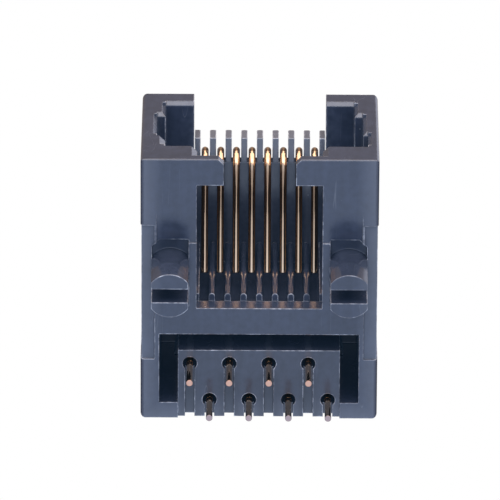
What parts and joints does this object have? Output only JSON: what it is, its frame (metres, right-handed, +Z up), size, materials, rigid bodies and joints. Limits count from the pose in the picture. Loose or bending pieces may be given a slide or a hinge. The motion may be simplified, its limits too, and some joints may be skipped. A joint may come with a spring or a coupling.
{
  "type": "rj45 board jack",
  "caption": "Side-entry modular plug socket for a circuit board, with sprung wire contacts, a latch window towards the board, split pegs and solder tails.",
  "frame": {"origin": "on the board's surface, midway between the two split pegs", "axes": "+Z up from the board, +Y the way the plug goes in, +X to the right of someone facing the mouth"},
  "size_m": [0.0152, 0.0181, 0.0147],
  "materials": {
    "housing_plastic": "moulded black polyester, satin gloss",
    "insert_plastic": "moulded black polyester, satin gloss",
    "contact_wire": "gold-plated bronze wire, bright"
  },
  "bodies": {
    "root": {"housing": "housing_plastic", "contact_insert": "insert_plastic", "contact_1": "contact_wire", "contact_2": "contact_wire", "contact_3": "contact_wire", "contact_4": "contact_wire", "contact_5": "contact_wire", "contact_6": "contact_wire", "contact_7": "contact_wire", "contact_8": "contact_wire"}
  },
  "joints": []
}
